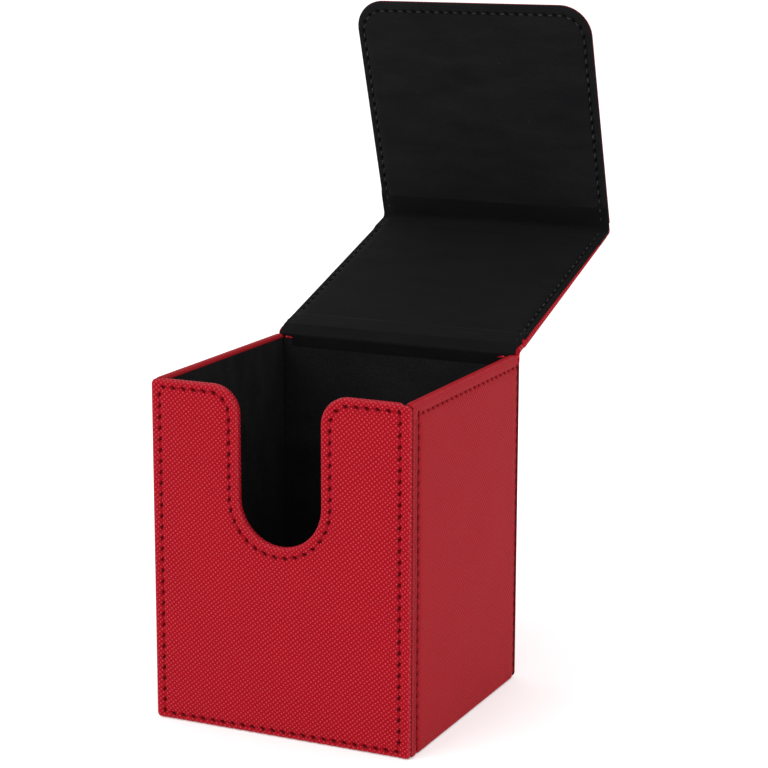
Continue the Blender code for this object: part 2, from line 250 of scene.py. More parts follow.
def leatherette(name, deep, light, shine=0.5, specular=0.06, relief=0.7, cloth_attribute=True):
    """Red leatherette, embossed with a fine slanting weave.

    The shine is how strongly a painted highlight lightens the tops of the weave towards pale pink.
    """
    n = Nodes(name)
    cloth = n.attribute("cloth", "Vector") if cloth_attribute else millimetres(n)
    drift = n.add("TexNoise", {"Vector": cloth, "Scale": 0.35, "Detail": 2.0}).outputs["Color"]
    centred = n.add("VectorMath", {0: drift, 1: (0.5, 0.5, 0.5)}, operation="SUBTRACT").outputs[0]
    shift = n.add("VectorMath", {0: centred, "Scale": 0.5}, operation="SCALE").outputs[0]
    place = n.add("VectorMath", {0: cloth, 1: shift}, operation="ADD").outputs[0]
    warp_wave = n.wave(place, WARP)
    weft_wave = n.wave(place, WEFT)
    crossing = n.math("MULTIPLY", warp_wave, weft_wave)
    yarns = n.math("ADD", warp_wave, weft_wave)
    grain = n.noise(cloth, 3.2, 4.0, 0.65)
    weave = n.math("ADD", n.math("MULTIPLY", yarns, 0.25), n.math("MULTIPLY", crossing, 0.25))
    height = n.math("ADD", weave, n.math("MULTIPLY", n.math("SUBTRACT", grain, 0.5), 1.7))
    dots = n.spread(height, -0.35, 0.55)
    cast = n.noise(cloth, 0.06, 3.0)
    deep = n.mix(cast, rgb(*deep), rgb(*(1.12 * part for part in deep)))
    light = n.mix(cast, rgb(*light), rgb(*(1.1 * part for part in light)))
    # Painted highlight and shade: the weave's tops take the lighter red, its gaps the deeper red.
    colour = n.mix(dots, deep, light)
    # Painted highlight: the highest tops of the weave are lightened towards pale pink.
    painted_glint = n.spread(height, 0.30, 0.75, 0.0, shine)
    colour = n.mix(painted_glint, colour, rgb(0.60, 0.13, 0.15))
    # Lighter pink along the rims' crests, broken up by noise: partly wear, partly painted highlight
    # where the rounded edges meet the light.
    wear_and_painted_highlight = n.math("MULTIPLY", n.attribute("edge"), n.spread(n.noise(cloth, 0.9, 4.0), 0.3, 0.7))
    colour = n.mix(n.math("MULTIPLY", wear_and_painted_highlight, 0.22), colour, rgb(0.72, 0.10, 0.13))
    # Painted shade: the hole attribute darkens needle holes, the rims' tucked ends in the joints and the
    # shaded strip beside the front joint to near-black red.
    colour = n.mix(n.spread(n.attribute("hole"), 0.1, 0.75), colour, rgb(0.075, 0.0, 0.0015))
    n.put(n.shader.inputs["Base Color"], colour)
    n.put(n.shader.inputs["Roughness"], n.spread(dots, 0.0, 1.0, 0.58, 0.44))
    n.shader.inputs["Specular IOR Level"].default_value = specular
    n.put(n.shader.inputs["Normal"], n.bump(height, relief, 0.00012))
    return n.material


def microfibre(name, painted_light_level, cloth_attribute=True):
    """Black brushed lining: a short nap with faint strokes and a little lint; its level scales it as
    painted light and shade.
    """
    def grey(shade, blue):
        return rgb(shade * painted_light_level, shade * painted_light_level, blue * painted_light_level)

    n = Nodes(name)
    cloth = n.attribute("cloth", "Vector") if cloth_attribute else millimetres(n)
    nap = n.noise(cloth, 2.2, 5.0, 0.7)
    strokes = n.noise(n.add("Mapping", {"Vector": cloth, "Scale": (0.05, 0.16, 0.1)}).outputs[0],
                      1.0, 4.0, 0.55)
    shade = n.spread(strokes, 0.3, 0.7)
    dark = n.mix(shade, grey(0.0035, 0.0042), grey(0.0065, 0.0072))
    bright = n.mix(shade, grey(0.007, 0.008), grey(0.0125, 0.0135))
    colour = n.mix(n.spread(nap, 0.35, 0.65), dark, bright)
    lint = n.add("TexVoronoi", {"Vector": cloth, "Scale": 0.16, "Randomness": 1.0})
    speck = n.spread(lint.outputs["Distance"], 0.018, 0.05, 1.0, 0.0)
    colour = n.mix(n.math("MULTIPLY", speck, 0.35), colour, grey(0.05, 0.052))
    if cloth_attribute:
        # Painted shade: the hole attribute darkens needle holes and the rims' tucked ends to black.
        colour = n.mix(n.spread(n.attribute("hole"), 0.1, 0.75), colour, rgb(0.001, 0.001, 0.001))
    n.put(n.shader.inputs["Base Color"], colour)
    n.put(n.shader.inputs["Roughness"], n.spread(nap, 0.3, 0.7, 0.97, 0.88))
    n.shader.inputs["Specular IOR Level"].default_value = 0.1
    n.shader.inputs["Sheen Weight"].default_value = 0.02
    n.shader.inputs["Sheen Roughness"].default_value = 0.4
    n.put(n.shader.inputs["Normal"], n.bump(nap, 0.5, 0.00015))
    return n.material


def thread(name, dark, light):
    """Twisted sewing thread: its plies wind round each stitch."""
    n = Nodes(name)
    twist = n.attribute("twist", "Vector")
    ply = n.wave(twist, (1.6, 2.0))
    fuzz = n.noise(twist, 6.0, 3.0)
    wear = n.math("MULTIPLY", n.math("SUBTRACT", n.noise(twist, 0.37, 2.0), 0.5), 2.2)
    blend = n.math("ADD", n.math("ADD", n.math("MULTIPLY", ply, 0.3), fuzz), wear)
    n.put(n.shader.inputs["Base Color"], n.mix(n.spread(blend, 0.1, 0.9), dark, light))
    n.put(n.shader.inputs["Roughness"], n.spread(fuzz, 0.3, 0.7, 0.62, 0.5))
    n.shader.inputs["Specular IOR Level"].default_value = 0.06
    n.put(n.shader.inputs["Normal"], n.bump(ply, 0.5, 0.00006))
    return n.material


def greyboard():
    n = Nodes("greyboard_fibres")
    place = millimetres(n)
    drawn = n.add("Mapping", {"Vector": place, "Scale": (1.0, 1.0, 5.0)}).outputs[0]
    fibres = n.noise(drawn, 1.5, 5.0, 0.7)
    flecks = n.spread(n.noise(place, 3.0, 2.0), 0.62, 0.7)
    colour = n.mix(n.spread(fibres, 0.3, 0.7), rgb(0.20, 0.17, 0.135), rgb(0.34, 0.30, 0.25))
    n.put(n.shader.inputs["Base Color"], n.mix(flecks, colour, rgb(0.12, 0.10, 0.08)))
    n.put(n.shader.inputs["Roughness"], n.spread(fibres, 0.3, 0.7, 0.95, 0.8))
    n.put(n.shader.inputs["Normal"], n.bump(fibres, 0.4, 0.0001))
    return n.material


def magnet_nickel():
    n = Nodes("magnet_nickel")
    place = millimetres(n)
    scuffs = n.noise(n.add("Mapping", {"Vector": place, "Scale": (6.0, 1.0, 1.0)}).outputs[0], 2.0, 4.0)
    colour = n.mix(n.spread(scuffs, 0.3, 0.7), rgb(0.50, 0.49, 0.47), rgb(0.66, 0.65, 0.63))
    n.put(n.shader.inputs["Base Color"], colour)
    n.shader.inputs["Metallic"].default_value = 1.0
    n.put(n.shader.inputs["Roughness"], n.spread(scuffs, 0.3, 0.7, 0.22, 0.38))
    return n.material


# ---------------------------------------------------------------- outlines and paths

def filleted(corners, closed):
    """Points of a path whose corners, given as (p, q, radius), are rounded."""
    points = []
    count = len(corners)
    for i, (p, q, radius) in enumerate(corners):
        here = Vector((p, q))
        if radius <= 0 or (not closed and i in (0, count - 1)):
            points.append(here)
            continue
        back = (Vector(corners[i - 1][:2]) - here).normalized()
        ahead = (Vector(corners[(i + 1) % count][:2]) - here).normalized()
        opening = back.angle(ahead)
        start = here + back * radius / math.tan(opening / 2)
        centre = here + (back + ahead).normalized() * radius / math.sin(opening / 2)
        spoke = start - centre
        turning = math.copysign(math.pi - opening, back.cross(ahead))
        steps = max(4, round(abs(turning) * radius / 0.3))
        for k in range(steps + 1):
            angle = -turning * k / steps
            cosine, sine = math.cos(angle), math.sin(angle)
            turned = Vector((cosine * spoke.x - sine * spoke.y, sine * spoke.x + cosine * spoke.y))
            points.append(centre + turned)
    return points


def resampled(points, step, closed):
    """Evenly spaced points on a path, with the path's direction at each."""
    line = np.array([tuple(point) for point in points])
    if closed:
        line = np.vstack([line, line[:1]])
    lengths = np.hypot(*np.diff(line, axis=0).T)
    line = line[np.concatenate([[True], lengths > 1e-6])]
    lengths = lengths[lengths > 1e-6]
    along = np.concatenate([[0.0], np.cumsum(lengths)])
    count = max(2, round(along[-1] / step))
    stations = np.linspace(0.0, along[-1], count + 1)
    if closed:
        stations = stations[:-1]
    spots = np.column_stack([np.interp(stations, along, line[:, i]) for i in (0, 1)])
    reach = step * 0.5
    ends = []
    for offset in (-reach, reach):
        there = stations + offset
        there = there % along[-1] if closed else np.clip(there, 0.0, along[-1])
        ends.append(np.column_stack([np.interp(there, along, line[:, i]) for i in (0, 1)]))
    direction = ends[1] - ends[0]
    direction /= np.linalg.norm(direction, axis=1, keepdims=True)
    return spots, direction


def right_of(direction):
    return np.column_stack([direction[:, 1], -direction[:, 0]])


def nearest(points, targets):
    """The distance from each point to its nearest target, and which target that is."""
    distances = np.empty(len(points))
    which = np.empty(len(points), int)
    for start in range(0, len(points), 2000):
        block = points[start:start + 2000]
        squared = ((block[:, None, :] - targets[None, :, :]) ** 2).sum(axis=2)
        which[start:start + 2000] = squared.argmin(axis=1)
        distances[start:start + 2000] = np.sqrt(squared.min(axis=1))
    return distances, which


def inside_outline(points, outline):
    """Which points lie within a closed outline, by counting crossings."""
    inside = np.zeros(len(points), bool)
    following = np.roll(outline, -1, axis=0)
    for (p0, q0), (p1, q1) in zip(outline, following):
        if q0 == q1:
            continue
        spans = (points[:, 1] > q0) != (points[:, 1] > q1)
        crossing = p0 + (points[:, 1] - q0) * (p1 - p0) / (q1 - q0)
        inside ^= spans & (points[:, 0] < crossing)
    return inside


def smoothstep(value):
    t = np.clip(value, 0.0, 1.0)
    return t * t * (3 - 2 * t)


# ---------------------------------------------------------------- seams

class Seam:
    """A run of stitches along a path in a panel's plane."""

    def __init__(self, corners, closed=False, hole=SLANTED_HOLE, pitch=PITCH):
        points = filleted(corners, closed)
        self.closed = closed
        self.hole_length, self.hole_width, self.slant = hole
        self.holes, self.hole_direction = resampled(points, pitch, closed)
        self.path, self.direction = resampled(points, 0.25, closed)

    def rows(self):
        """Mesh points in rows beside the path, close enough to shape the groove and holes."""
        across = right_of(self.direction)
        return np.vstack([self.path + across * offset for offset in SEAM_ROWS])

    def holes_at(self, points):
        """How far each point lies in a needle hole, from 0 to 1.  The holes lie aslant."""
        _, which = nearest(points, self.holes)
        offset = points - self.holes[which]
        cosine, sine = math.cos(math.radians(self.slant)), math.sin(math.radians(self.slant))
        direction = self.hole_direction
        slanted = cosine * direction + sine * right_of(direction)
        along = (offset * slanted[which]).sum(axis=1)
        across = (offset * right_of(slanted)[which]).sum(axis=1)
        return np.exp(-((along / self.hole_length) ** 2 + (across / self.hole_width) ** 2) ** 1.5)


def pinched(distance, pinch):
    """How far a face sinks at a distance from an edge that is sewn thin."""
    return pinch * (1 - smoothstep((distance - RIM_RADIUS) / PINCH_REACH))


def surface_height(points, edge_distance, seams, magnets, puff):
    """The height of a panel's face over its plane, and how deep each point is in a hole, which the
    materials also darken as painted shade.
    """
    height = np.zeros(len(points))
    hole = np.zeros(len(points))
    clear = smoothstep((edge_distance - RIM_RADIUS) / 1.2)
    crown = np.ones(len(points))
    for seam in seams:
        distance, _ = nearest(points, seam.path)
        crown *= 1 - np.exp(-(distance / 1.6) ** 2)
        height -= GROOVE_DEPTH * np.exp(-(distance / GROOVE_WIDTH) ** 2)
        depth = np.zeros(len(points))
        close = distance < 1.5
        depth[close] = seam.holes_at(points[close])
        hole = np.maximum(hole, depth)
    height += puff * crown * clear
    height -= HOLE_DEPTH * hole
    for p, q in magnets:
        radius = np.hypot(points[:, 0] - p, points[:, 1] - q)
        height += MAGNET_BUMP * (1 - smoothstep((radius - MAGNET_RADIUS + 0.9) / 1.8))
    ripple = np.sin(points[:, 0] * 0.13 + 1.7 * np.sin(points[:, 1] * 0.071))
    ripple += np.sin(points[:, 1] * 0.17 + 1.3 * np.sin(points[:, 0] * 0.093 + 2.0))
    return height + RIPPLE * ripple * clear, hole


# ---------------------------------------------------------------- shells

def spaced_profile(profile):
    """Evenly spaced (outward, r, painted shade) points of a rim, with its running length."""
    line = np.array(profile)
    along = np.concatenate([[0.0], np.cumsum(np.hypot(*np.diff(line[:, :2], axis=0).T))])
    stations = np.linspace(0.0, along[-1], RIM_POINTS)
    spots = np.column_stack([np.interp(stations, along, line[:, i]) for i in range(3)])
    return np.column_stack([spots, stations])


def quarter(centre_o, centre_r, radius, start, end, dark=0.0, steps=7):
    """An arc of a rim, with painted shade growing towards its end."""
    shares = np.linspace(0.0, 1.0, steps)
    angles = np.radians(start + shares * (end - start))
    return [(centre_o + radius * math.sin(a), centre_r + radius * math.cos(a), dark * share**2)
            for a, share in zip(angles, shares)]


def wrapped_profile(thickness, hem=0.0):
    """Over the edge and back along the inner face, as a hem whose end is darkened as painted shade."""
    profile = quarter(-RIM_RADIUS, -RIM_RADIUS, RIM_RADIUS, 0, 90)
    profile += quarter(-RIM_RADIUS, RIM_RADIUS - thickness, RIM_RADIUS, 90, 180)
    profile += [(-RIM_RADIUS - hem, -thickness, 0.0), (-RIM_RADIUS - hem, 0.5 - thickness, 1.0)]
    return spaced_profile(profile)


def turned_profile(radius, depth, dark=0.0, tuck=0.1):
    """Over the edge and down into the joint between two panels, darkened there as painted shade."""
    profile = [(-RIM_RADIUS, 0.0, 0.0)] + quarter(-radius, -radius, radius, 0, 90, dark)
    profile += [(0.0, -depth, max(dark, 0.3)), (-0.25, -depth - 0.15, 1.0),
                (-0.8, -depth - tuck, 1.0)]
    return spaced_profile(profile)


def rolled_profile(radius, hem):
    """A thin rolled edge whose end shows on the inner face, for the lid's edge by the hinge; that end is
    darkened as painted shade.
    """
    profile = [(-RIM_RADIUS, 0.0, 0.0)] + quarter(-radius, -radius, radius, 0, 180)
    profile += [(-radius - hem, -2 * radius, 0.0), (-radius - hem, -radius, 1.0)]
    return spaced_profile(profile)


def make_object(name, mesh, body, material):
    mesh.materials.append(material)
    obj = bpy.data.objects.new(name, mesh)
    bpy.context.scene.collection.objects.link(obj)
    mesh.shade_smooth()
    if body:
        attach(obj, body)
    return obj


def add_attribute(mesh, name, values):
    values = np.asarray(values, np.float32)
    if values.ndim == 1:
        mesh.attributes.new(name, "FLOAT", "POINT").data.foreach_set("value", values)
    else:
        layer = mesh.attributes.new(name, "FLOAT_VECTOR", "POINT")
        layer.data.foreach_set("vector", values.ravel())


def transformed(matrix, points):
    turn = np.array(matrix)
    return np.asarray(points) @ turn[:3, :3].T + turn[:3, 3]


def make_shell(name, matrix, body, material, corners, profiles, rims,
               seams=(), magnets=(), puff=PUFF, pinch=0.0, shade=None, grid=1.3):
    """One covered panel: its face, sewn and padded, and its rim, turned over every edge.

    rims(p, q) gives the share of each profile at a point of the edge.  The first profile is
    for edges that meet another panel; the face sinks by the pinch towards the others.
    shade(points) paints shade on the face, up to 1, into the hole attribute with the holes and the rims'
    darkened ends, all of which the materials darken as painted shade.
    """
    outline, direction = resampled(filleted(corners, True), 0.45, True)
    outward = right_of(direction)
    border = outline - outward * RIM_RADIUS
    low = outline.min(axis=0)
    high = outline.max(axis=0)
    across, up = np.meshgrid(np.arange(low[0] + grid, high[0], grid),
                             np.arange(low[1] + grid, high[1], grid))
    lattice = np.column_stack([across.ravel(), up.ravel()])
    rows = [seam.rows() for seam in seams]
    if rows:
        beside = np.vstack([seam.path for seam in seams])
        lattice = lattice[nearest(lattice, beside)[0] > SEAM_ROWS[-1] + 0.3]
    spots = np.vstack([lattice, *rows])
    spots = spots[inside_outline(spots, outline)]
    spots = spots[nearest(spots, outline)[0] > RIM_RADIUS + 0.2]
    sites = np.vstack([border, spots])
    loop = [(i, (i + 1) % len(border)) for i in range(len(border))]
    cut = delaunay_2d_cdt([Vector(site) for site in sites.tolist()], loop, [], 0, 1e-5, True)
    flat = np.array([tuple(point) for point in cut[0]])
    triangles = np.array([list(face) for face in cut[2]])
    triangles = triangles[inside_outline(flat[triangles].mean(axis=1), border)]
    place_of = {}
    for index, sources in enumerate(cut[3]):
        for source in sources:
            place_of[source] = index
    edge_distance, _ = nearest(flat, outline)
    height, hole = surface_height(flat, edge_distance, seams, magnets, puff)
    shares = np.array([rims(p, q) for p, q in outline])
    # Painted shade from shade() joins the holes' darkness.
    if shade:
        hole = np.maximum(hole, shade(flat))
    if pinch:
        sewn_distance, _ = nearest(flat, outline[shares[:, 0] < 0.5])
        height -= pinched(sewn_distance, pinch)

    rim = np.einsum("ik,kjc->ijc", shares, np.stack(profiles))
    count = len(outline)
    rings = RIM_POINTS - 1
    border_height = height[[place_of[i] for i in range(count)]]
    ring_spots = outline[:, None, :] + outward[:, None, :] * rim[:, 1:, :1]
    ring_r = border_height[:, None, None] + rim[:, 1:, 1:2]
    ring_cloth = border[:, None, :] + outward[:, None, :] * rim[:, 1:, 3:]

    points = np.vstack([np.column_stack([flat, height]),
                        np.concatenate([ring_spots, ring_r], axis=2).reshape(-1, 3)])
    cloth = np.vstack([flat, ring_cloth.reshape(-1, 2)])
    # Each rim's crest, kept in the edge attribute, which the leather lightens: partly wear, partly
    # painted highlight.
    crest = np.exp(-((rim[:, 1:, 3] - RIM_RADIUS * 0.9) / 0.5) ** 2)
    faces = triangles.tolist()
    base = len(flat)
    for i in range(count):
        j = (i + 1) % count
        first, second = place_of[i], place_of[j]
        for k in range(rings):
            third, fourth = base + j * rings + k, base + i * rings + k
            faces.append((first, fourth, third, second))
            first, second = fourth, third
    mesh = bpy.data.meshes.new(name)
    mesh.from_pydata(transformed(matrix, points).tolist(), [], faces)
    add_attribute(mesh, "cloth", np.column_stack([cloth, np.zeros(len(cloth))]))
    # The hole attribute carries painted shade: needle holes, the rims' darkened ends and shade().
    add_attribute(mesh, "hole", np.concatenate([hole, rim[:, 1:, 2].ravel()]))
    add_attribute(mesh, "edge", np.concatenate([np.zeros(base), crest.ravel()]))
    return make_object(name, mesh, body, material)


def make_stitches(name, matrix, body, material, seams, lift=-0.08, radius=THREAD_RADIUS,
                  span=THREAD_SPAN):
    """Lock stitches: each thread rises from one needle hole and dips into the next.

    The span is the part of each stitch that shows; the rest is drawn into the cloth.
    """
    steps, sides = 9, 8
    points, twist, faces = [], [], []
    along = np.linspace(0.5 - span / 2, 0.5 + span / 2, steps)
    rise = lift - 0.12 - 0.42 * np.abs(np.linspace(-1.0, 1.0, steps)) ** 3.5
    around = np.linspace(0.0, 2 * math.pi, sides, endpoint=False)
    for seam in seams:
        holes = seam.holes
        count = len(holes) if seam.closed else len(holes) - 1
        for i in range(count):
            start, end = holes[i], holes[(i + 1) % len(holes)]
            run = end - start
            side = np.array([run[1], -run[0]]) / np.hypot(*run)
            centre = start + along[:, None] * run + side * 0.07 * (2 * along[:, None] - 1)
            base = len(points)
            for k in range(steps):
                for angle in around:
                    spot = centre[k] + side * radius * math.cos(angle)
                    points.append((*spot, rise[k] + radius * 0.85 * math.sin(angle)))
                    twist.append((along[k] * PITCH + i * PITCH, angle / (2 * math.pi), 0.0))
            for k in range(steps - 1):
                for j in range(sides):
                    m = (j + 1) % sides
                    row, above = base + k * sides, base + (k + 1) * sides
                    faces.append((row + j, above + j, above + m, row + m))
            faces.append(tuple(base + j for j in range(sides)))
            faces.append(tuple(base + (steps - 1) * sides + j for j in reversed(range(sides))))
    mesh = bpy.data.meshes.new(name)
    mesh.from_pydata(transformed(matrix, points).tolist(), [], faces)
    add_attribute(mesh, "twist", twist)
    return make_object(name, mesh, body, material)


def across_points(reach):
    """Places across a strip, closer together near its sides."""
    near = [reach - step for step in (0.0, 0.4, 0.9, 1.5, 2.2, 3.0, 4.0)]
    middle = np.linspace(5.0 - reach, reach - 5.0, 40)
    return np.array([-place for place in near] + list(middle) + near[::-1])


def strip_section(reach, thickness, pinch):
    """A closed (p, depth) section: the shown face, a rounded side, the hidden face and back."""
    radius = thickness / 2
    flat = across_points(reach - radius)
    sunk = pinched(reach - np.abs(flat), pinch)
    turn = np.radians(np.linspace(15, 165, 7))
    sides = [(reach - radius + radius * math.sin(a), pinch + radius - radius * math.cos(a))
             for a in turn]
    loop = list(zip(flat, sunk)) + sides
    loop += list(zip(flat[::-1], sunk[::-1] + thickness))
    return loop + [(-p, depth) for p, depth in reversed(sides)]


def make_strip(name, matrix, material, path, reach, thickness, bodies, start, end, pinch=0.0):
    """A soft strip across a joint: one section across p, swept along a path in q and r.

    The path lies on the strip's shown face, its thickness lies to the left of the path, and
    reach(q, r) is how far it goes to either side.
    """
    spots, direction = resampled([Vector(point) for point in path], 0.3, False)
    inward = np.column_stack([-direction[:, 1], direction[:, 0]])
    running = np.concatenate([[0.0], np.cumsum(np.hypot(*np.diff(spots, axis=0).T))])
    points, cloth, faces = [], [], []
    for spot, inwards, length in zip(spots, inward, running):
        section = strip_section(reach(*spot), thickness, pinch)
        for p, depth in section:
            points.append((p, *(spot + inwards * depth)))
            cloth.append((p + math.copysign(depth, p), length, 0.0))
    size = len(section)
    for i in range(len(spots) - 1):
        for j in range(size):
            k = (j + 1) % size
            faces.append((i * size + j, i * size + k, (i + 1) * size + k, (i + 1) * size + j))
    faces.append(tuple(reversed(range(size))))
    faces.append(tuple((len(spots) - 1) * size + j for j in range(size)))
    mesh = bpy.data.meshes.new(name)
    mesh.from_pydata(transformed(matrix, points).tolist(), [], faces)
    add_attribute(mesh, "cloth", cloth)
    add_attribute(mesh, "hole", np.zeros(len(points)))
    add_attribute(mesh, "edge", np.zeros(len(points)))
    obj = make_object(name, mesh, None, material)
    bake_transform(obj)
    return obj


# ---------------------------------------------------------------- the object

def front_corners():
    half, notch = HALF_WIDTH, NOTCH_HALF_WIDTH
    return [(-half, 0, 1.3), (half, 0, 1.3), (half, HEIGHT - CORNER_DIP, 1.4),
            (half - 5.0, HEIGHT, 12.0), (notch, HEIGHT, NOTCH_FILLET), (notch, NOTCH_BOTTOM, notch),
            (-notch, NOTCH_BOTTOM, notch), (-notch, HEIGHT, NOTCH_FILLET), (-half, HEIGHT, 1.6)]


def front_seam():
    left, right = 2.6 - HALF_WIDTH, HALF_WIDTH - 3.5
    top, bottom = HEIGHT - 2.2, 1.7
    notch = NOTCH_HALF_WIDTH + 2.9
    floor = NOTCH_BOTTOM - 2.9
    return Seam([(left, bottom, 0.6), (right, bottom, 0.6), (right, top, 0.6), (notch, top, 6.0),
                 (notch, floor, notch), (-notch, floor, notch), (-notch, top, 6.0),
                 (left, top, 0.6)], closed=True)


def box_corners(half, top_radius, bottom_radius=1.3):
    return [(-half, 0, bottom_radius), (half, 0, bottom_radius),
            (half, HEIGHT, top_radius), (-half, HEIGHT, top_radius)]


def build_box(mats):
    # The front and rear panels' rims darken halfway into their joints, as painted shade.
    turned = turned_profile(0.7, 0.72, 0.5, 0.9)
    wrapped = wrapped_profile(WALL + 0.06)
    seam = front_seam()
    heights = [HEIGHT - drop for drop in MAGNET_DROPS]
    magnets = [(side * MAGNET_SIDE, q) for side in (-1, 1) for q in heights]

    def box_rims(p, q):
        over = float(smoothstep((INNER_HALF_WIDTH + 0.2 - abs(p)) / 0.8)) if q > 2.0 else 0.0
        return 1 - over, over

    shell = make_shell("front_shell", FRONT_FRAME, "box", mats["cover"], front_corners(),
                       (turned, wrapped), box_rims, [seam], magnets)
    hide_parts("front_cover")
    stitches = make_stitches("front_stitches", FRONT_FRAME, "box", mats["thread"], [seam])
    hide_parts("front_stitching")

    side = HALF_WIDTH - 3.0
    seam = Seam([(-side, 1.7, 0.6), (side, 1.7, 0.6), (side, HEIGHT - 2.2, 0.6),
                 (-side, HEIGHT - 2.2, 0.6)], closed=True)
    shell = make_shell("rear_shell", REAR_FRAME, "box", mats["cover"],
                       box_corners(HALF_WIDTH, 1.6), (turned, wrapped), box_rims, [seam])
    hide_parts("rear_cover")
    stitches = make_stitches("rear_stitches", REAR_FRAME, "box", mats["thread"], [seam])
    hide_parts("rear_stitching")

    # The side walls' butted rims darken fully where they turn into the joints, as painted shade.
    butted = turned_profile(0.6, 0.8, 1.0, 0.4)

    def side_rims(p, q):
        over = float(smoothstep((q - HEIGHT + 1.0) / 0.6))
        return 1 - over, over

    top = HEIGHT - 3.6
    for name, matrix, sign in (("right", RIGHT_FRAME, 1), ("left", LEFT_FRAME, -1)):
        front = sign * (FRONT_FACE + 5.0)
        rear = sign * (REAR_FACE - 1.9)
        seams = [Seam([(front, 1.2, 0), (front, top, 0)], hole=LONG_HOLE),
                 Seam([(front, top, 0), (rear, top, 0)], hole=SMALL_HOLE),
                 Seam([(rear, top, 0), (rear, 1.2, 0)], hole=LONG_HOLE)]

        shell = make_shell(name + "_shell", matrix, "box", mats["cover_side_shaded"],
                           box_corners(SIDE_HALF_DEPTH - JOINT_GAP, 1.6, 1.2), (butted, wrapped),
                           side_rims, seams, shade=joint_shade(sign, front, top))
        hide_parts(name + "_cover")
        stitches = make_stitches(name + "_stitches", matrix, "box", mats["thread"], seams)
        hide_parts(name + "_stitching")


def joint_shade(sign, front, top):
    """The strip between the front joint and the first row of stitches lies in shade, painted into its
    colour.
    """
    def shade(points):
        beyond = sign * (front - points[:, 0])
        low = smoothstep(points[:, 1] / 4.0) * smoothstep((top + 0.5 - points[:, 1]) / 2.0)
        return 0.3 * smoothstep(beyond / 0.8) * low
    return shade


def cover_edges():
    """Where a thin panel's cover is butted, and where it is sewn."""
    return turned_profile(0.6, 0.65), turned_profile(0.65, 0.66)


def lining_edges():
    return turned_profile(0.3, 0.4), turned_profile(0.9, 0.93)


def lid_seams():
    edge = HALF_WIDTH - LID_SEAM_INSET
    return [Seam([(side, LID_START + 0.8, 0), (side, LID_END - 0.6, 0)])
            for side in (-edge, edge)]


def build_lid(mats):
    """The lid's cover and lining meet at its thin sewn edges.

    On the right the cover's edge rolls onto the inner face near the hinge.
    """
    half = HALF_WIDTH
    corners = [(-half - LID_SKEW, LID_START, BUTT_CORNER),
               (half - LID_TAPER, LID_START, BUTT_CORNER),
               (half, LID_END, BUTT_CORNER), (-half, LID_END, BUTT_CORNER)]

    def cover_rims(p, q):
        sewn = float(LID_START + 0.3 < q < LID_END - 0.3)
        rolled = sewn * float(1 - 0.6 * smoothstep(q / LID_END)) if p < 0 else 0.0
        return 1 - sewn, sewn - rolled, rolled

    seams = lid_seams()
    profiles = (*cover_edges(), rolled_profile(0.65, ROLL_HEM))
    shell = make_shell("lid_shell", LID_FRAME, "lid", mats["cover"], corners, profiles,
                       cover_rims, seams, pinch=COVER_PINCH)
    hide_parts("lid_cover")

    inner = inside_of(LID_FRAME, LINING_DEPTH)
    start, end = LID_START - 0.2, LID_END + 0.2

    def lining_rims(p, q):
        sewn = float(start + 0.3 < q < end - 0.3)
        return 1 - sewn, sewn

    corners = [(LINING_INSET - half + LID_TAPER, start, BUTT_CORNER),
               (half - ROLL_HEM + LID_SKEW, start, BUTT_CORNER),
               (half - 0.3, end, BUTT_CORNER), (LINING_INSET - half, end, BUTT_CORNER)]
    lining = make_shell("lid_lining_cloth", inner, "lid", mats["lining_lid_shaded"], corners,
                        lining_edges(), lining_rims,
                        seams, pinch=LINING_PINCH, puff=0.0)
    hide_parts("lid_lining")
    for label, seam in (("left", seams[1]), ("right", seams[0])):
        outer = make_stitches(f"lid_stitches_{label}", LID_FRAME, "lid", mats["thread"], [seam],
                              lift=-0.2)
        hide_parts(f"lid_stitching_{label}")
    make_stitches("lid_inner_stitches", inner, "lid", mats["thread_dark"], seams,
                  **INNER_STITCHES)


def build_flap(mats):
    half, start, tip = HALF_WIDTH, CREASE_CLEARANCE, FLAP_LENGTH
    corners = [(-half, start, BUTT_CORNER), (half, start, BUTT_CORNER), (half, tip, FLAP_CORNER),
               (-half, tip, FLAP_CORNER)]

    def flap_rims(p, q):
        sewn = float(q > start + 0.3)
        return 1 - sewn, sewn

    edge, crown, bend = half - FLAP_SEAM_INSET, tip - FLAP_SEAM_DROP, FLAP_CORNER - 2.7
    seam = Seam([(edge, start + 0.8, 0), (edge, crown, bend),
                 (-edge, crown, bend), (-edge, start + 0.8, 0)])
    shell = make_shell("flap_shell", FLAP_FRAME, "flap", mats["cover"], corners,
                       cover_edges(), flap_rims,
                       [seam], pinch=COVER_PINCH)
    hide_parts("flap_cover")
    stitches = make_stitches("flap_stitches", FLAP_FRAME, "flap", mats["thread"], [seam],
                             lift=-0.2)
    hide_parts("flap_stitching")
    flank, end, rounding = half - LINING_INSET, tip - LINING_INSET, FLAP_CORNER - LINING_INSET
    corners = [(-flank, start - 0.2, BUTT_CORNER), (flank, start - 0.2, BUTT_CORNER),
               (flank, end, rounding), (-flank, end, rounding)]
    rise = HINGE.z + LID_OUTER_RISE - HEIGHT
    magnets = [(side * MAGNET_SIDE, drop + rise) for side in (-1, 1) for drop in MAGNET_DROPS]
    inner = inside_of(FLAP_FRAME, LINING_DEPTH)
    lining = make_shell("flap_lining_cloth", inner, "flap", mats["lining"], corners,
                        lining_edges(), flap_rims,
                        [seam], magnets, pinch=LINING_PINCH, puff=0.0)
    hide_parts("flap_lining")
    make_stitches("flap_inner_stitches", inner, "flap", mats["thread_dark"], [seam],
                  **INNER_STITCHES)


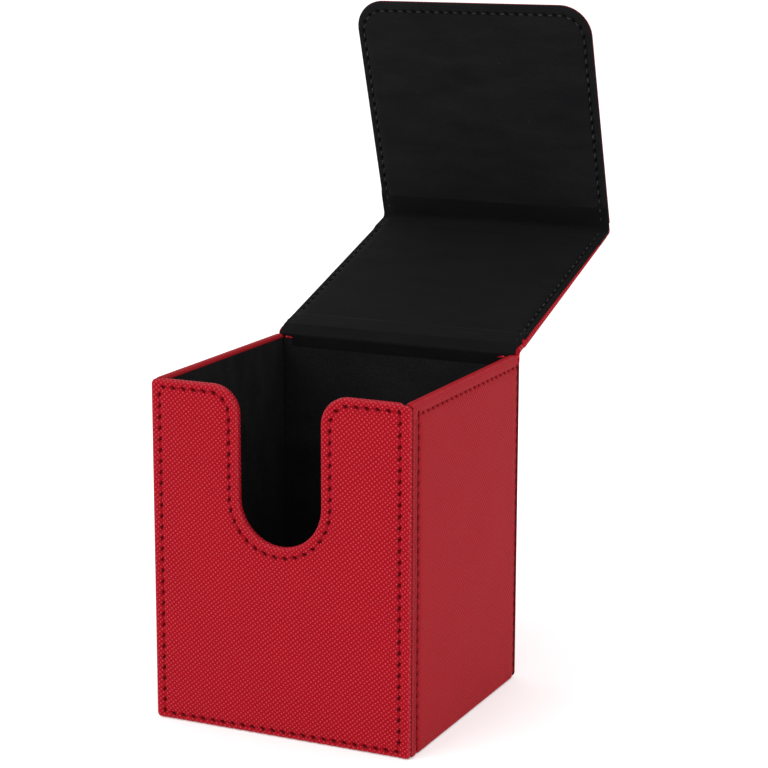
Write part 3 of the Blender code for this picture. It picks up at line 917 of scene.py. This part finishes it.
def make_board(name, matrix, body, material, corners):
    """A stiffening board that ends inside the seams, where the layers come together."""
    outline, _ = resampled(filleted(corners, True), 2.0, True)
    top, bottom = -0.8, -1.6
    points = [(p, q, r) for r in (top, bottom) for p, q in outline]
    count = len(outline)
    faces = [(i, (i + 1) % count, count + (i + 1) % count, count + i) for i in range(count)]
    faces += [tuple(reversed(range(count))), tuple(range(count, 2 * count))]
    mesh = bpy.data.meshes.new(name)
    mesh.from_pydata(transformed(matrix, points).tolist(), [], faces)
    return make_object(name, mesh, body, material)


def build_boards(mats):
    half = HALF_WIDTH - BOARD_INSET
    start = CREASE_CLEARANCE + 0.3
    tip = FLAP_LENGTH - BOARD_INSET
    corners = [(-half, LID_START + 0.3, 1.0), (half, LID_START + 0.3, 1.0),
               (half, LID_END - 0.3, 1.0), (-half, LID_END - 0.3, 1.0)]
    board = make_board("lid_stiffener", LID_FRAME, "lid", mats["board"], corners)
    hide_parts("lid_board")
    corners = [(-half, start, 1.0), (half, start, 1.0), (half, tip, 5.0), (-half, tip, 5.0)]
    board = make_board("flap_stiffener", FLAP_FRAME, "flap", mats["board"], corners)
    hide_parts("flap_board")


def lid_yz(q, r):
    """A point of the lid's plane as the (y, z) it has at rest, in millimetres."""
    place = LID_FRAME @ Vector((0, q, r)) / MM
    return place.y, place.z


def build_hinge(mats):
    """The soft strips between the rear wall and the lid, shaped over the rear rim."""
    world = panel_frame((LID_SKEW / 2, 0, 0), X_AXIS, (0, 1, 0), Z_AXIS)
    rear = REAR_FACE
    path = filleted([(rear - 0.35, HEIGHT - 3.6, 0), (rear + 0.12, HEIGHT - 2.0, 0.8),
                     (rear + 0.14, HEIGHT - 0.05, 0.5), (*lid_yz(2.6, 0.12), 0.8),
                     (*lid_yz(4.4, -0.4), 0)], False)
    strip = make_strip("hinge_cover_strip", world, mats["cover"], path,
                       lambda q, r: HALF_WIDTH - 0.15, HINGE_ROLL, ("box", "lid"),
                       (0, rear, HEIGHT), (0, *lid_yz(LID_START, 0.0)))
    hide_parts("hinge_cover")

    wall = REAR_FACE - WALL - 0.08
    path = filleted([(*lid_yz(9.0, 0.35 - SHEET), 0), (*lid_yz(7.0, -LINING_DEPTH - 0.1), 1.2),
                     (*lid_yz(0.6, -LINING_DEPTH - 0.1), 1.0), (wall - 0.05, HEIGHT + 0.15, 0.7),
                     (wall, HEIGHT - 3.0, 0.8), (wall + 0.4, HEIGHT - 5.6, 0)], False)

    def lining_reach(q, r):
        return INNER_HALF_WIDTH + 0.2 + 1.9 * float(smoothstep((r - HEIGHT + 0.2) / 0.9))

    centred = panel_frame((0, 0, 0), X_AXIS, (0, 1, 0), Z_AXIS)
    lining = make_strip("hinge_lining_strip", centred, mats["lining_lid_shaded"], path, lining_reach, 0.5,
                        ("box", "lid"), (0, wall, HEIGHT), (0, *lid_yz(LID_START, -SHEET)),
                        pinch=0.25)
    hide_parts("hinge_lining")


def build_crease(mats):
    """The soft strips between the lid and the flap: a rounded fold and its inner corner."""
    start = CREASE_CLEARANCE

    def flap_qr(q, r):
        return LID_REACH + r, -q

    path = filleted([(*flap_qr(start + 4.0, -0.45), 0), (*flap_qr(start + 1.6, 0.08), 1.0),
                     (LID_REACH + 0.08, 0.08, 1.3), (LID_END - 1.6, 0.08, 1.0),
                     (LID_END - 4.0, -0.45, 0)], False)
    bodies = ("lid", "flap")
    ends = [LID_FRAME @ Vector((0, *spot)) / MM for spot in ((LID_END, 0.0), flap_qr(start, 0.0))]
    strip = make_strip("crease_cover_strip", LID_FRAME, mats["cover"], path,
                       lambda q, r: HALF_WIDTH - 0.4, 0.66, bodies, *ends, pinch=COVER_PINCH)
    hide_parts("crease_cover")

    inner = -LINING_DEPTH - 0.1
    corner = LID_REACH + inner
    path = filleted([(LID_END - 8.0, inner + 0.4, 0), (LID_END - 6.0, inner, 1.2),
                     (corner, inner, 0.9), (*flap_qr(start + 6.0, inner), 1.2),
                     (*flap_qr(start + 8.0, inner + 0.4), 0)], False)
    ends = [LID_FRAME @ Vector((0, *spot)) / MM for spot in
            ((LID_END - 1.0, inner), (corner, -start - 1.0))]
    lining = make_strip("crease_lining_strip", LID_FRAME, mats["lining_lid_shaded"], path,
                        lambda q, r: HALF_WIDTH - 0.08, 0.9, bodies, *ends, pinch=LINING_PINCH)
    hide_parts("crease_lining")


def dress_cad(mats):
    """The pieces that keep their CAD shape get finished materials."""
    finish = {}
    for name, obj in frame["nodes"].items():
        if name.endswith("_board"):
            finish[name] = mats["board"]
        elif "_magnet_" in name:
            finish[name] = mats["magnet"]
        elif name.endswith("_lining") and name.split("_")[0] in ("floor", "front", "rear",
                                                                 "left", "right"):
            finish[name] = mats["lining_plain_lightened"]
    finish["floor_cover"] = mats["cover_plain"]
    for name, material in finish.items():
        mesh = frame["nodes"][name].data
        mesh.materials.clear()
        mesh.materials.append(material)


# ---------------------------------------------------------------- floor, light and camera

def plain(name, colour, roughness, glow):
    n = Nodes(name)
    mottle = n.noise(millimetres(n), 0.01, 2.0)
    shade = tuple(0.985 * part for part in colour[:3])
    paper = n.mix(mottle, rgb(*shade), colour)
    n.put(n.shader.inputs["Base Color"], paper)
    n.put(n.shader.inputs["Emission Color"], paper)
    n.shader.inputs["Emission Strength"].default_value = glow
    n.shader.inputs["Roughness"].default_value = roughness
    n.shader.inputs["Specular IOR Level"].default_value = 0.0
    return n.material


def make_floor():
    mesh = bpy.data.meshes.new("floor")
    size = 12.0
    mesh.from_pydata([(-size, -size, 0), (size, -size, 0), (size, size, 0), (-size, size, 0)],
                     [], [(0, 1, 2, 3)])
    floor = make_object("studio_floor", mesh, None, plain("studio_paper", rgb(0.9, 0.9, 0.9), 0.9, 0.35))
    floor.location.z = -0.0002
    return floor


def aim(obj, target):
    direction = Vector(target) - obj.location
    obj.rotation_euler = direction.to_track_quat("-Z", "Y").to_euler()


def make_light(name, place, target, size, power):
    light = bpy.data.lights.new(name, "AREA")
    light.shape = "RECTANGLE"
    light.size, light.size_y = size
    light.energy = power
    obj = bpy.data.objects.new(name, light)
    bpy.context.scene.collection.objects.link(obj)
    obj.location = place
    aim(obj, target)
    return obj


def make_stage():
    scene = bpy.context.scene
    world = bpy.data.worlds.new("studio")
    world.use_nodes = True
    background = world.node_tree.nodes["Background"]
    background.inputs["Color"].default_value = (1.0, 1.0, 1.0, 1.0)
    background.inputs["Strength"].default_value = 1.0
    scene.world = world
    middle = (0.0, 0.0, 0.08)
    lights = [
        make_light("key", (-0.55, -0.9, 1.0), middle, (0.9, 0.9), 5.0),
        make_light("fill", (1.2, -0.3, 0.6), middle, (0.8, 0.8), 1.0),
    ]
    make_floor()
    scene.view_settings.view_transform = "Standard"


def make_camera():
    data = bpy.data.cameras.new("camera")
    data.lens = 107.0372
    data.sensor_width = 36.0
    data.dof.use_dof = False
    camera = bpy.data.objects.new("camera", data)
    bpy.context.scene.collection.objects.link(camera)
    azimuth, pitch, roll = (math.radians(angle) for angle in (25.1515, 12.1139, 0.1407))
    turn = (Matrix.Rotation(azimuth, 4, "Z") @ Matrix.Rotation(math.pi / 2 - pitch, 4, "X")
            @ Matrix.Rotation(roll, 4, "Z"))
    camera.matrix_world = Matrix.Translation(Vector((283.683, -574.696, 231.692)) * MM) @ turn
    bpy.context.scene.camera = camera


def main():
    mats = {
        "cover": leatherette("red_leatherette", RED_DEEP, RED_LIGHT),
        # The side walls' copy of the leather is darker and greyer: painted shade and painted reflection.
        "cover_side_shaded": leatherette("red_leatherette_side_shaded", SIDE_DEEP_SHADED, SIDE_LIGHT_SHADED,
                                  shine=0.08, specular=0.02, relief=0.35),
        "cover_plain": leatherette("red_leatherette_base", RED_DEEP, RED_LIGHT,
                                   cloth_attribute=False),
        # Lining copies: the lid's is darkened as painted shade, the box walls' lightened as painted
        # light.
        "lining": microfibre("black_microfibre", 0.8),
        "lining_lid_shaded": microfibre("black_microfibre_lid_shaded", 0.38),
        "lining_plain_lightened": microfibre("black_microfibre_walls_lightened", 1.1, cloth_attribute=False),
        "thread": thread("red_thread", rgb(0.22, 0.001, 0.006), rgb(0.32, 0.004, 0.013)),
        "thread_dark": thread("grey_thread", rgb(0.012, 0.012, 0.013), rgb(0.055, 0.055, 0.057)),
        "board": greyboard(),
        "magnet": magnet_nickel(),
    }
    build_box(mats)
    build_lid(mats)
    build_flap(mats)
    build_boards(mats)
    build_hinge(mats)
    build_crease(mats)
    dress_cad(mats)
    make_stage()
    make_camera()


main()
